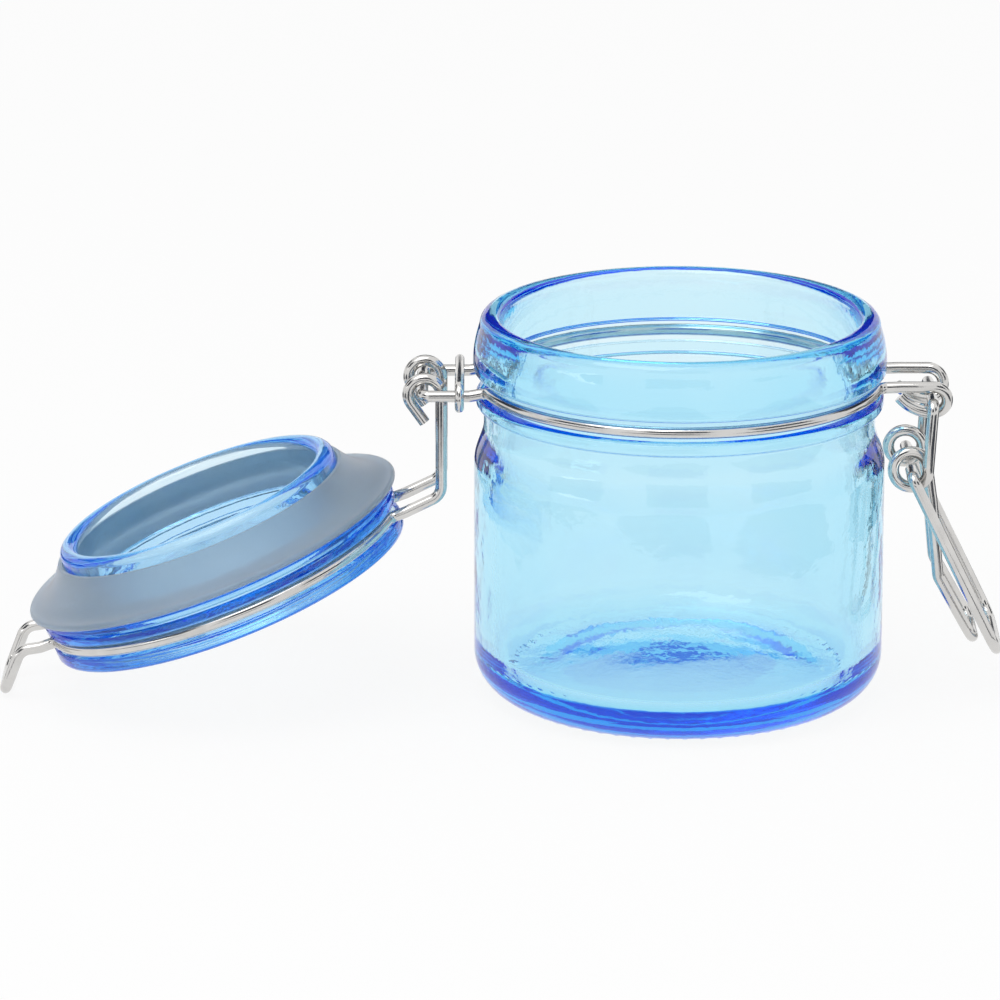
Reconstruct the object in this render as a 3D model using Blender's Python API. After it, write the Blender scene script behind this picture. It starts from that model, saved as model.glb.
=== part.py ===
"""Clip-top glass jar with its lid open, for Blender 4.5. Metres, +Z up.

The jar stands on z = 0. Its hinge is at -X, its latch at +X, and both sides of the XZ plane are alike.
Each steel piece is one bent length of round wire, so each is a swept centreline: half of it is laid out on
the -Y side and mirrored. The lid and its wire are laid out closed, then swung open about the hinge bar.
"""

import math

import bpy
from mathutils import Vector

# Driving sizes ----------------------------------------------------------------------------------

JAR_AXIS_X = 0.0341            # the open object's footprint is centred on the origin
GAP = 0.0003                   # clearance between pieces that touch
ROUND_STEPS = 48               # facets round a turned piece
ARC_STEP = math.radians(22.5)  # longest step round a bend

WIRE_R = 0.0011                # hinge and latch wire
TIE_WIRE_R = 0.00085           # thinner wire of the tie ring

# Glass jar, as radii and heights
JAR_HEIGHT = 0.0740
BODY_R = 0.0390
BODY_WALL = 0.0036
HEEL_R = 0.0084
BEARING_WIDTH = 0.0028
PUNT_DEPTH = 0.0033
FLOOR_HEIGHT = 0.0060
FLOOR_DOME = 0.0030
INNER_HEEL_R = 0.0050
MOUTH_R = 0.0338
LIP_INNER_ROUND = 0.0015
LIP_OUTER_ROUND = 0.0020
LIP_R = 0.0379
BAND_R = 0.0391
BAND_CREST_DROP = 0.0085       # from the lip down to the widest line of the band
GROOVE_TOP_DROP = 0.0108       # from the lip down to the groove
GROOVE_HEIGHT = 0.0042
GROOVE_R = 0.03625
BEAD_R = 0.0386
BEAD_HEIGHT = 0.0024
EDGE_ROUND = 0.0007
NECK_R = 0.0371
NECK_HEIGHT = 0.0036
SHOULDER_HEIGHT = 0.0080

# Glass lid, as radii, and heights from the middle of its wire groove
LID_SEAT = 0.0071              # from the jar's lip up to the groove of the closed lid
LID_DISC_R = 0.0355
LID_TOP = 0.0044
LID_RECESS_R = 0.0260
LID_RECESS = 0.0004
LID_EDGE_ROUND = 0.0012
LID_GROOVE_R = 0.0330
LID_GROOVE_HALF = 0.00145
FLANGE_BEAD_R = 0.0357         # bead just under the groove
FLANGE_BEAD_HEIGHT = 0.0015
FLANGE_NOTCH = 0.0004          # depth of the notch between the bead and the band
FLANGE_R = 0.0360
FLANGE_BOTTOM = -0.0050
PLUG_R = 0.0279
PLUG_INNER_R = 0.0244
PLUG_BOTTOM = -0.0156
LID_FLOOR = -0.0015

# Gasket
GASKET_FIT = 0.00035           # from the plug to the gasket's bore
GASKET_R = 0.0373
GASKET_EDGE = 0.0013           # thickness of its outer edge
GASKET_HOLLOW = 2.0            # how hollow its underside is: 1 is a straight cone
GASKET_SKIRT_WIDTH = 0.0007    # width of its lower end, on the plug
GASKET_SKIRT_BOTTOM = -0.0126

# Collar wire
HINGE_ARM_Y = 0.0094
HINGE_REACH = 0.01105          # from the neck ring out to the hinge bar
HINGE_DROP = 0.0008            # hinge arms below the neck ring
HINGE_DROP_END = 0.00215       # from the neck ring out to where the arms run level
LATCH_ARM_Y = 0.0070
LATCH_REACH = 0.00985          # from the neck ring out to the middle of the eye
LATCH_RISE = 0.00035
EYE_R = 0.00275
EYE_SHIFT = 0.0025             # from the arm in to the end of the eye's tail
EYE_TAIL_R = 0.0081
EYE_TAIL_SWEEP = math.radians(50)
LEAVE_ANGLE = math.radians(17)
RING_BEND = 0.0022             # bend from a ring to an arm
BAR_BEND = 0.0016

# Tie ring, placed between the neck ring and the hinge bar
TIE_RING_OFFSET = 0.0070       # from the hinge bar in to the tie ring

# Lid wire
LID_ARM_Y = 0.0066
NOSE_Y = 0.0076
ARM_LEVEL_R = 0.0372           # out to here the arms and the nose run level with the ring
ARM_DROP = 0.0007              # from the ring down to the knees
NOSE_CROOK_X = 0.0410
NOSE_CROOK_DROP = 0.0008
NOSE_TIP_X = 0.0469
NOSE_TIP_RISE = 0.0058
NOSE_BEND = 0.0030
HOOK_R = 0.0031
HOOK_TURN = math.radians(215)
HOOK_TAIL = 0.0044
HOOK_SEAT = math.radians(138.4)  # direction of the hinge bar from the hook's middle, with the lid open
KNEE_BEND = 0.0030

# Latch lever, from its pins down, as it hangs at rest
COIL_R = 0.00325
COIL_DROP = 0.01275
COIL_OUT = -0.00405
KNEE_OUT, KNEE_DROP = 0.0001, 0.01905
KINK_OUT, KINK_DROP = 0.0016, 0.03425
TIP_OUT, TIP_DROP = 0.0086, 0.04690
LEVER_PIN_END = 0.0042         # how near to the XZ plane the pins reach
LEVER_BEND = 0.0030

# Latch bail
BAIL_PIN_END = 0.0060
BAIL_BEND = 0.0040
PIN_BEND = 0.0016
BAIL_SEAT = math.radians(-74.5)  # direction of the bail's pin from the coil's middle
BAIL_REST = math.radians(-64.1)  # direction of the bail's legs at rest
BAIL_CATCH = 0.0013              # from the nose's crook in to the bail's bar, when latched

# Sizes and places that follow -------------------------------------------------------------------

groove_mid = JAR_HEIGHT - GROOVE_TOP_DROP - GROOVE_HEIGHT / 2
neck_ring_r = GROOVE_R + GAP + WIRE_R
lid_ring_r = LID_GROOVE_R + GAP + WIRE_R
lid_plane = JAR_HEIGHT + LID_SEAT
side_step = 2 * WIRE_R + GAP   # from one wire to the next beside it

hinge_bar = Vector((-(neck_ring_r + HINGE_REACH), 0, groove_mid - HINGE_DROP))
arm_height = groove_mid + LATCH_RISE
eye = Vector((neck_ring_r + LATCH_REACH, 0, arm_height - EYE_R))
lever_pin = eye - Vector((0, 0, EYE_R - side_step))
lever_y = LATCH_ARM_Y + side_step
handle_y = lever_y - side_step
coil = lever_pin + Vector((COIL_OUT, 0, -COIL_DROP))
bail_y = lever_y + side_step


def polar(length, angle):
    """Returns a vector in the XZ plane, with its angle from +X towards +Z."""
    return Vector((length * math.cos(angle), 0, length * math.sin(angle)))


bail_pin = coil + polar(COIL_R - side_step, BAIL_SEAT)
nose_tip = Vector((NOSE_TIP_X, 0, lid_plane + NOSE_TIP_RISE)) - hinge_bar
# Closed to open, the lid turns until the tip of its nose lies on the surface that the jar stands on.
tip_drop = hinge_bar.z - WIRE_R - GAP
tip_angle = math.atan2(nose_tip.z, nose_tip.x)
lid_opening = math.pi + math.asin(tip_drop / nose_tip.length) - tip_angle
latched_bar = Vector((NOSE_CROOK_X - BAIL_CATCH, 0, lid_plane - NOSE_CROOK_DROP / 2 + side_step))
bail_length = (latched_bar - bail_pin).length


# Tools ------------------------------------------------------------------------------------------

def arc(centre_r, centre_z, radius, start, end, steps=4):
    """Returns points round an arc in the (radius, height) plane, with its angles in degrees."""
    angles = [math.radians(start + (end - start) * i / steps) for i in range(steps + 1)]
    return [(centre_r + radius * math.cos(a), centre_z + radius * math.sin(a)) for a in angles]


def ease(start, end, steps=5):
    """Returns the points of an S-curve between two (radius, height) points, upright at both."""
    points = []
    for i in range(steps + 1):
        share = i / steps
        side = (1 - math.cos(math.pi * share)) / 2
        points.append((start[0] + (end[0] - start[0]) * side, start[1] + (end[1] - start[1]) * share))
    return points


def material(name, colour, roughness, metallic=0.0, transmission=0.0):
    made = bpy.data.materials.new(name)
    made.use_nodes = True
    shader = made.node_tree.nodes["Principled BSDF"]
    shader.inputs["Base Color"].default_value = (*colour, 1)
    shader.inputs["Roughness"].default_value = roughness
    shader.inputs["Metallic"].default_value = metallic
    shader.inputs["Transmission Weight"].default_value = transmission
    return made


def place(name, data, finish, parent, position):
    piece = bpy.data.objects.new(name, data)
    bpy.context.scene.collection.objects.link(piece)
    data.materials.append(finish)
    piece.parent = parent
    piece.location = position
    return piece


def pivot(name, parent, position, turn=0.0):
    """Adds an empty on a joint's axis, turned about +Y."""
    empty = bpy.data.objects.new(name, None)
    bpy.context.scene.collection.objects.link(empty)
    empty.empty_display_size = 0.01
    empty.parent = parent
    empty.location = position
    empty.rotation_euler.y = turn
    return empty


def turned(name, outline, closed, finish, parent, position):
    """Turns an outline of (radius, height) points, which runs down its outer side, about its Z axis."""
    mesh = bpy.data.meshes.new(name)
    count = len(outline)
    edges = [(i, i + 1) for i in range(count - 1)]
    if closed:
        edges.append((count - 1, 0))
    mesh.from_pydata([(radius, 0, height) for radius, height in outline], edges, [])
    piece = place(name, mesh, finish, parent, position)
    screw = piece.modifiers.new("turn", "SCREW")
    screw.axis = "Z"
    screw.angle = math.tau
    screw.steps = ROUND_STEPS
    screw.render_steps = ROUND_STEPS
    screw.use_merge_vertices = True
    screw.merge_threshold = 0.00001
    return piece


def bend(before, corner, after, radius):
    """Returns the points of a round bend at a corner of a wire's centreline."""
    incoming = (corner - before).normalized()
    outgoing = (after - corner).normalized()
    turn = incoming.angle(outgoing)
    reach = radius * math.tan(turn / 2)
    start = corner - incoming * reach
    inward = (outgoing - incoming * incoming.dot(outgoing)).normalized()
    middle = start + inward * radius
    steps = max(2, math.ceil(turn / ARC_STEP))
    angles = [turn * i / steps for i in range(steps + 1)]
    return [middle + (incoming * math.sin(a) - inward * math.cos(a)) * radius for a in angles]


def centreline(stops):
    """Joins (point, bend radius) stops into points. A radius of 0 leaves the point as it is."""
    points = []
    for i, (point, radius) in enumerate(stops):
        if radius:
            points += bend(stops[i - 1][0], point, stops[i + 1][0], radius)
        else:
            points.append(point)
    return points


def wire(name, points, radius, finish, parent, position, cyclic=False):
    """Sweeps a round wire along its centreline."""
    curve = bpy.data.curves.new(name, "CURVE")
    curve.dimensions = "3D"
    curve.bevel_depth = radius
    curve.bevel_resolution = 2
    curve.use_fill_caps = not cyclic
    spline = curve.splines.new("POLY")
    spline.points.add(len(points) - 1)
    spline.use_cyclic_u = cyclic
    for made, point in zip(spline.points, points):
        made.co = (*point, 1)
    return place(name, curve, finish, parent, position)


def mirrored(half):
    """Returns a centreline that runs along its half on the -Y side and back along the +Y side."""
    return half + [Vector((p.x, -p.y, p.z)) for p in reversed(half)]


def half_ring(radius, height):
    """Returns the -Y half of a ring, from its -X arm's side round to its +X arm's side."""
    sweep = math.pi - 2 * LEAVE_ANGLE
    steps = ROUND_STEPS // 2
    angles = [-math.pi + LEAVE_ANGLE + sweep * i / steps for i in range(steps + 1)]
    return [Vector((radius * math.cos(a), radius * math.sin(a), height)) for a in angles]


def arm_corner_x(radius, arm_y):
    """Returns how far out the ring's tangent from its leaving point meets the line of an arm."""
    leave_x = radius * math.cos(LEAVE_ANGLE)
    leave_y = radius * math.sin(LEAVE_ANGLE)
    return leave_x + (leave_y - arm_y) * math.tan(LEAVE_ANGLE)


# Glass ------------------------------------------------------------------------------------------

def jar_outline():
    groove_top = JAR_HEIGHT - GROOVE_TOP_DROP
    groove_bottom = groove_top - GROOVE_HEIGHT
    bead_bottom = groove_bottom - BEAD_HEIGHT
    neck_bottom = bead_bottom - NECK_HEIGHT
    shoulder_bottom = neck_bottom - SHOULDER_HEIGHT
    inner_r = BODY_R - BODY_WALL
    bearing_r = BODY_R - HEEL_R
    dome_r = inner_r - INNER_HEEL_R
    dome = [(dome_r * i / 5, FLOOR_HEIGHT + FLOOR_DOME * math.cos(math.pi * i / 10) ** 2) for i in range(5)]
    inside = dome + arc(dome_r, FLOOR_HEIGHT + INNER_HEEL_R, INNER_HEEL_R, -90, 0, 5)
    inside += ease((inner_r, shoulder_bottom), (MOUTH_R, neck_bottom + NECK_HEIGHT))
    lip = arc(MOUTH_R + LIP_INNER_ROUND, JAR_HEIGHT - LIP_INNER_ROUND, LIP_INNER_ROUND, 180, 90)
    lip += arc(LIP_R - LIP_OUTER_ROUND, JAR_HEIGHT - LIP_OUTER_ROUND, LIP_OUTER_ROUND, 90, 0)
    band = [
        (BAND_R, JAR_HEIGHT - BAND_CREST_DROP),
        (BAND_R, groove_top + EDGE_ROUND),
        (BAND_R - EDGE_ROUND, groove_top),
        (GROOVE_R, groove_top),
    ]
    bead = [
        (GROOVE_R, groove_bottom),
        (BEAD_R - EDGE_ROUND, groove_bottom),
        (BEAD_R, groove_bottom - EDGE_ROUND),
        (BEAD_R, bead_bottom + EDGE_ROUND),
        (BEAD_R - EDGE_ROUND, bead_bottom),
    ]
    shoulder = [(NECK_R, bead_bottom - EDGE_ROUND)] + ease((NECK_R, neck_bottom), (BODY_R, shoulder_bottom))
    heel = arc(bearing_r, HEEL_R, HEEL_R, 0, -90, 6)
    punt_r = bearing_r - BEARING_WIDTH
    punt = [(punt_r * (1 - i / 5), PUNT_DEPTH * math.sin(math.pi * i / 10)) for i in range(6)]
    return inside + lip + band + bead + shoulder + heel + punt


def lid_outline():
    rim = (PLUG_R - PLUG_INNER_R) / 2
    top_r = LID_DISC_R - LID_EDGE_ROUND
    edge = EDGE_ROUND / 2
    notch = -LID_GROOVE_HALF - FLANGE_BEAD_HEIGHT - edge
    outline = [
        (0, LID_TOP - LID_RECESS),
        (LID_RECESS_R, LID_TOP - LID_RECESS),
        (LID_RECESS_R + EDGE_ROUND, LID_TOP),
    ]
    outline += arc(top_r, LID_TOP - LID_EDGE_ROUND, LID_EDGE_ROUND, 90, 0)
    outline += [
        (LID_DISC_R, LID_GROOVE_HALF + edge),
        (LID_DISC_R - edge, LID_GROOVE_HALF),
        (LID_GROOVE_R, LID_GROOVE_HALF),
        (LID_GROOVE_R, -LID_GROOVE_HALF),
        (FLANGE_BEAD_R - edge, -LID_GROOVE_HALF),
        (FLANGE_BEAD_R, -LID_GROOVE_HALF - edge),
        (FLANGE_BEAD_R, notch + edge),
        (FLANGE_BEAD_R - FLANGE_NOTCH, notch),
        (FLANGE_R, notch - 2 * edge),
        (FLANGE_R, FLANGE_BOTTOM + edge),
        (FLANGE_R - edge, FLANGE_BOTTOM),
        (PLUG_R, FLANGE_BOTTOM),
    ]
    outline += arc(PLUG_INNER_R + rim, PLUG_BOTTOM + rim, rim, 0, -180, 6)
    outline += arc(PLUG_INNER_R - LID_EDGE_ROUND, LID_FLOOR - LID_EDGE_ROUND, LID_EDGE_ROUND, 0, 90, 3)
    return outline + [(0, LID_FLOOR)]


def gasket_outline():
    """The top lies under the flange. The underside sweeps down from the sealing edge to the plug."""
    bore = PLUG_R + GASKET_FIT
    top = FLANGE_BOTTOM - GAP
    edge_middle = top - GASKET_EDGE / 2
    outline = [(bore, top)]
    outline += arc(GASKET_R - GASKET_EDGE / 2, edge_middle, GASKET_EDGE / 2, 90, -90, 6)
    seal_r = GASKET_R - GASKET_EDGE / 2
    skirt_r = bore + GASKET_SKIRT_WIDTH
    width = seal_r - skirt_r
    depth = top - GASKET_EDGE - GASKET_SKIRT_BOTTOM
    shares = [i / 6 for i in range(1, 7)]
    outline += [(seal_r - width * share, top - GASKET_EDGE - depth * share**GASKET_HOLLOW) for share in shares]
    return outline + [(bore, GASKET_SKIRT_BOTTOM)]


# Wires ------------------------------------------------------------------------------------------

def collar_wire_half():
    """Runs from the tail of the eye, round it, along the latch arm, the ring and the hinge arm."""
    tail_middle = Vector((eye.x, 0, eye.z - EYE_R + EYE_TAIL_R))
    tail = [math.radians(-90) - EYE_TAIL_SWEEP * (1 - i / 4) for i in range(4)]
    loop = [math.radians(-90 + 180 * i / 8) for i in range(9)]
    points = [tail_middle + polar(EYE_TAIL_R, a) for a in tail] + [eye + polar(EYE_R, a) for a in loop]
    last = len(points) - 1
    for i, point in enumerate(points):
        point.y = -LATCH_ARM_Y + EYE_SHIFT * (1 - i / last)
    latch_corner = arm_corner_x(neck_ring_r, LATCH_ARM_Y)
    hinge_corner = arm_corner_x(neck_ring_r, HINGE_ARM_Y)
    ring = [(point, 0) for point in reversed(half_ring(neck_ring_r, groove_mid))]
    level_x = -(neck_ring_r + HINGE_DROP_END)
    stops = [(point, 0) for point in points]
    stops += [
        (Vector((latch_corner + 2 * RING_BEND, -LATCH_ARM_Y, arm_height)), 0),
        (Vector((latch_corner, -LATCH_ARM_Y, (arm_height + groove_mid) / 2)), RING_BEND),
    ]
    stops += ring
    stops += [
        (Vector((-hinge_corner, -HINGE_ARM_Y, groove_mid - HINGE_DROP / 4)), BAR_BEND),
        (Vector((level_x, -HINGE_ARM_Y, hinge_bar.z)), BAR_BEND),
        (Vector((hinge_bar.x, -HINGE_ARM_Y, hinge_bar.z)), BAR_BEND),
        (hinge_bar, 0),
    ]
    return centreline(stops)[:-1]


def tie_ring_path():
    """An oval round both hinge arms, in the YZ plane, from its own middle."""
    radius = WIRE_R + GAP + TIE_WIRE_R
    path = []
    for side in (1, -1):
        for i in range(9):
            angle = math.radians(-90 + 180 * i / 8)
            path.append(Vector((0, side * (HINGE_ARM_Y + radius * math.cos(angle)), side * radius * math.sin(angle))))
    return path


def to_closed(point):
    """Turns a point near the hinge bar from the open lid's position to the closed lid's."""
    return polar(point.length, math.atan2(point.z, point.x) - lid_opening)


def lid_wire_half():
    """From the hinge bar: hook, leg, arm, ring, and the nose's leg to its turned-up tip, lid closed."""
    hook = -polar(HOOK_R - side_step, HOOK_SEAT)
    leg_x = hook.x + HOOK_R
    rise = lid_plane - hinge_bar.z
    leg_z = (rise - ARM_DROP + leg_x * math.sin(lid_opening)) / math.cos(lid_opening)
    turns = 10
    angles = [HOOK_TURN * (1 - i / turns) for i in range(turns + 1)]
    loop = [hook + polar(HOOK_R, angle) for angle in angles]
    tail = loop[0] + polar(HOOK_TAIL, HOOK_TURN + math.radians(90))
    knee = to_closed(Vector((leg_x, 0, leg_z)))
    stops = [(to_closed(point), 0) for point in [tail] + loop]
    stops.append((knee, KNEE_BEND))
    for point, _ in stops:
        point.y = -LID_ARM_Y
    ring_middle = Vector((-hinge_bar.x, 0, rise))
    arm_corner = ring_middle.x - arm_corner_x(lid_ring_r, LID_ARM_Y)
    nose_corner = ring_middle.x + arm_corner_x(lid_ring_r, NOSE_Y)
    stops += [
        (Vector((ring_middle.x - ARM_LEVEL_R, -LID_ARM_Y, rise)), 0),
        (Vector((arm_corner, -LID_ARM_Y, rise)), RING_BEND),
    ]
    stops += [(point + ring_middle, 0) for point in half_ring(lid_ring_r, 0)]
    stops += [
        (Vector((nose_corner, -NOSE_Y, rise)), RING_BEND),
        (Vector((ring_middle.x + ARM_LEVEL_R, -NOSE_Y, rise)), 0),
        (Vector((ring_middle.x + NOSE_CROOK_X, -NOSE_Y, rise - NOSE_CROOK_DROP)), NOSE_BEND),
        (Vector((nose_tip.x, -NOSE_Y, nose_tip.z)), NOSE_BEND),
        (nose_tip, 0),
    ]
    return centreline(stops)[:-1]


def lever_half():
    """From the lever's pin: pin, leg, one full coil that steps inward, and the kinked handle."""
    middle = coil - lever_pin
    turns = 18
    winding = []
    for i in range(turns + 1):
        point = middle + polar(COIL_R, -math.tau * i / turns)
        point.y = -lever_y + side_step * i / turns
        winding.append((point, 0))
    stops = [(Vector((0, -LEVER_PIN_END, 0)), 0), (Vector((0, -lever_y, 0)), PIN_BEND)]
    stops += winding
    stops += [
        (Vector((KNEE_OUT, -handle_y, -KNEE_DROP)), LEVER_BEND),
        (Vector((KINK_OUT, -handle_y, -KINK_DROP)), LEVER_BEND),
        (Vector((TIP_OUT, -handle_y, -TIP_DROP)), LEVER_BEND),
        (Vector((TIP_OUT, 0, -TIP_DROP)), 0),
    ]
    return centreline(stops)[:-1]


def bail_half():
    """From the bail's pin: pin, leg and bar."""
    end = polar(bail_length, BAIL_REST)
    stops = [
        (Vector((0, -BAIL_PIN_END, 0)), 0),
        (Vector((0, -bail_y, 0)), PIN_BEND),
        (Vector((end.x, -bail_y, end.z)), BAIL_BEND),
        (end, 0),
    ]
    return centreline(stops)[:-1]


# Assembly ---------------------------------------------------------------------------------------

for old in list(bpy.data.objects):
    bpy.data.objects.remove(old)

blue_glass = material("blue_glass", (0.22, 0.62, 0.95), 0.03, transmission=1.0)
silicone = material("silicone", (0.45, 0.55, 0.66), 0.45, transmission=0.4)
bright_steel = material("bright_steel", (0.75, 0.74, 0.72), 0.18, metallic=1.0)

jar_axis = pivot("jar_axis", None, Vector((JAR_AXIS_X, 0, 0)))
lid_hinge = pivot("lid_hinge", jar_axis, hinge_bar, -lid_opening)
lever_pivot = pivot("lever_pivot", jar_axis, lever_pin)
bail_pivot = pivot("bail_pivot", lever_pivot, bail_pin - lever_pin)

foot = Vector((0, 0, 0))
lid_middle = Vector((-hinge_bar.x, 0, lid_plane - hinge_bar.z))
tie_middle = hinge_bar + Vector((TIE_RING_OFFSET, 0, 0))

turned("glass_jar", jar_outline(), False, blue_glass, jar_axis, foot)
turned("glass_lid", lid_outline(), False, blue_glass, lid_hinge, lid_middle)
turned("gasket", gasket_outline(), True, silicone, lid_hinge, lid_middle)

wire("collar_wire", mirrored(collar_wire_half()), WIRE_R, bright_steel, jar_axis, foot)
wire("tie_ring", tie_ring_path(), TIE_WIRE_R, bright_steel, jar_axis, tie_middle, cyclic=True)
wire("lid_wire", mirrored(lid_wire_half()), WIRE_R, bright_steel, lid_hinge, foot)
wire("latch_lever", mirrored(lever_half()), WIRE_R, bright_steel, lever_pivot, foot)
wire("latch_bail", mirrored(bail_half()), WIRE_R, bright_steel, bail_pivot, foot)

bpy.context.view_layer.update()
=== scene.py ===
import math

import bpy
from mathutils import Matrix, Vector


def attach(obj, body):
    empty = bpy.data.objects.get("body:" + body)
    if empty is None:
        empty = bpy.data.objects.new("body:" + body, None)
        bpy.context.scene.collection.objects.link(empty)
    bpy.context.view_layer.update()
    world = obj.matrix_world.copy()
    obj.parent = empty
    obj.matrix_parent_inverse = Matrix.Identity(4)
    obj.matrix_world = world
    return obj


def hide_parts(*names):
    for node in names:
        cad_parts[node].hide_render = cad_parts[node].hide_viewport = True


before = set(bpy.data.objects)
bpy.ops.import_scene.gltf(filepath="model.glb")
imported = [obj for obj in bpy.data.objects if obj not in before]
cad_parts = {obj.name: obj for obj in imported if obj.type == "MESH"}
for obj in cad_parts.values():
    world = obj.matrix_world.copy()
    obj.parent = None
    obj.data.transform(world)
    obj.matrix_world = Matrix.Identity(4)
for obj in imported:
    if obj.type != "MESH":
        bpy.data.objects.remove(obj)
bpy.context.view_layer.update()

# Studio -----------------------------------------------------------------------------------------
# A pale table top in a white room, with wide soft lamps above and beside it. Dark cards stand round
# it and dark strips lie on it, which only glass and steel show. None of this belongs to the jar.

TABLE_SIZE = 8.0
TABLE_DROP = 0.0002            # the table top lies this far under the jar's foot
TABLE_WHITE = (0.90, 0.90, 0.90, 1)
TABLE_SHOWN = 0.90             # share of plain white that the view sees in the table top
ROOM_LIGHT = 0.62
CARDS = 6
CARD_REACH = 0.62
CARD_MIDDLE = 0.36
CARD_WIDTH = 0.40
CARD_HEIGHT = 0.34
STRIP_REACH = 0.32
STRIP_RISE = 0.0005
STRIP_LENGTH = 0.30
STRIP_WIDTH = 0.16
CARD_GREY = (0.020, 0.028, 0.045, 1)
# Painted light: seen through glass the cards glow this deep blue, which deepens the blue in the glass's edges.
CARD_GLOW = (0.0, 0.16, 0.72, 1)
CAMERA_PLACE = Vector((0.00005, -1.190, 0.3866))
CAMERA_PITCH = math.radians(90 - 16.36)
CAMERA_LENS = 234.6
GLASS_BOUNCES = 32


def join(tree, start, end):
    tree.links.new(start, end)


def clear_material(name):
    """Returns a new material with an empty node tree, and its output node."""
    made = bpy.data.materials.new(name)
    made.use_nodes = True
    made.node_tree.nodes.clear()
    return made, made.node_tree, made.node_tree.nodes.new("ShaderNodeOutputMaterial")


def seen_directly(tree):
    """Returns a socket that is 1 for the camera, and for what glass and metal show."""
    path = tree.nodes.new("ShaderNodeLightPath")
    first = tree.nodes.new("ShaderNodeMath")
    first.operation = "MAXIMUM"
    second = tree.nodes.new("ShaderNodeMath")
    second.operation = "MAXIMUM"
    join(tree, path.outputs["Is Camera Ray"], first.inputs[0])
    join(tree, path.outputs["Is Glossy Ray"], first.inputs[1])
    join(tree, first.outputs[0], second.inputs[0])
    join(tree, path.outputs["Is Transmission Ray"], second.inputs[1])
    return second.outputs[0]


def table_finish():
    made, tree, out = clear_material("table_top")
    plain = tree.nodes.new("ShaderNodeBsdfPrincipled")
    plain.inputs["Base Color"].default_value = TABLE_WHITE
    plain.inputs["Roughness"].default_value = 0.9
    plain.inputs["Specular IOR Level"].default_value = 0.1
    white = tree.nodes.new("ShaderNodeEmission")
    share = tree.nodes.new("ShaderNodeMath")
    share.operation = "MULTIPLY"
    share.inputs[1].default_value = TABLE_SHOWN
    mix = tree.nodes.new("ShaderNodeMixShader")
    join(tree, seen_directly(tree), share.inputs[0])
    join(tree, share.outputs[0], mix.inputs[0])
    join(tree, plain.outputs[0], mix.inputs[1])
    join(tree, white.outputs[0], mix.inputs[2])
    join(tree, mix.outputs[0], out.inputs["Surface"])
    return made


def card_finish():
    """Near black where steel mirrors it, and a painted deep blue glow where it shows through glass, which adds to
    the blue seen in the glass's edges.
    """
    made, tree, out = clear_material("dark_card_blue_glow")
    plain = tree.nodes.new("ShaderNodeBsdfPrincipled")
    plain.inputs["Base Color"].default_value = CARD_GREY
    plain.inputs["Roughness"].default_value = 0.9
    # Painted blue glow: what glass shows of the card, so part of the glass's edge colour comes from here.
    glow = tree.nodes.new("ShaderNodeEmission")
    glow.inputs["Color"].default_value = CARD_GLOW
    path = tree.nodes.new("ShaderNodeLightPath")
    mix = tree.nodes.new("ShaderNodeMixShader")
    join(tree, path.outputs["Is Transmission Ray"], mix.inputs[0])
    join(tree, plain.outputs[0], mix.inputs[1])
    join(tree, glow.outputs[0], mix.inputs[2])
    join(tree, mix.outputs[0], out.inputs["Surface"])
    return made


def lamp(name, place, aim, size, watts):
    bpy.ops.object.light_add(type="AREA", location=place)
    made = bpy.context.object
    made.name = name
    made.rotation_euler = (Vector(aim) - Vector(place)).to_track_quat("-Z", "Y").to_euler()
    made.data.shape = "SQUARE"
    made.data.size = size
    made.data.energy = watts


def card(name, place, turn, width, height, finish):
    """Stands an upright card at a place, turned about +Z, which only mirrors and glass can see."""
    bpy.ops.mesh.primitive_plane_add(size=1, location=place, rotation=(math.pi / 2, 0, turn))
    made = bpy.context.object
    made.name = name
    made.scale = (width, height, 1)
    made.data.materials.append(finish)
    made.visible_camera = False
    made.visible_diffuse = False
    made.visible_shadow = False


bpy.ops.object.select_all(action="DESELECT")
bpy.ops.mesh.primitive_plane_add(size=TABLE_SIZE, location=(0, 0, -TABLE_DROP))
table_top = bpy.context.object
table_top.name = "table_top"
table_top.data.materials.append(table_finish())

card_dark_and_glowing = card_finish()
for index in range(CARDS):
    around = math.tau * (index + 0.5) / CARDS
    spot = (CARD_REACH * math.cos(around), CARD_REACH * math.sin(around), CARD_MIDDLE)
    card(f"card_{index}", spot, around + math.pi / 2, CARD_WIDTH, CARD_HEIGHT, card_dark_and_glowing)
    # A strip lies flat on the table below each card, and shows only in the steel.
    along = (STRIP_REACH * math.cos(around), STRIP_REACH * math.sin(around), STRIP_RISE)
    bpy.ops.mesh.primitive_plane_add(size=1, location=along, rotation=(0, 0, around))
    strip = bpy.context.object
    strip.name = f"strip_{index}"
    strip.scale = (STRIP_LENGTH, STRIP_WIDTH, 1)
    strip.data.materials.append(card_dark_and_glowing)
    strip.visible_camera = False
    strip.visible_diffuse = False
    strip.visible_shadow = False
    strip.visible_transmission = False

lamp("lamp_above", (-0.25, -0.35, 0.95), (0, 0, 0.03), 0.70, 3.4)
lamp("lamp_left", (-0.95, -0.55, 0.50), (0, 0, 0.04), 0.50, 1.6)
lamp("lamp_right", (0.95, -0.45, 0.60), (0, 0, 0.04), 0.50, 1.6)

room = bpy.data.worlds.new("white_room")
room.use_nodes = True
bpy.context.scene.world = room
room_tree = room.node_tree
room_light = room_tree.nodes["Background"]
room_light.inputs["Color"].default_value = (1, 1, 1, 1)
room_light.inputs["Strength"].default_value = ROOM_LIGHT
room_white = room_tree.nodes.new("ShaderNodeBackground")
room_white.inputs["Color"].default_value = (1, 1, 1, 1)
room_white.inputs["Strength"].default_value = 1.0
room_mix = room_tree.nodes.new("ShaderNodeMixShader")
join(room_tree, seen_directly(room_tree), room_mix.inputs[0])
join(room_tree, room_light.outputs[0], room_mix.inputs[1])
join(room_tree, room_white.outputs[0], room_mix.inputs[2])
join(room_tree, room_mix.outputs[0], room_tree.nodes["World Output"].inputs["Surface"])

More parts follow.
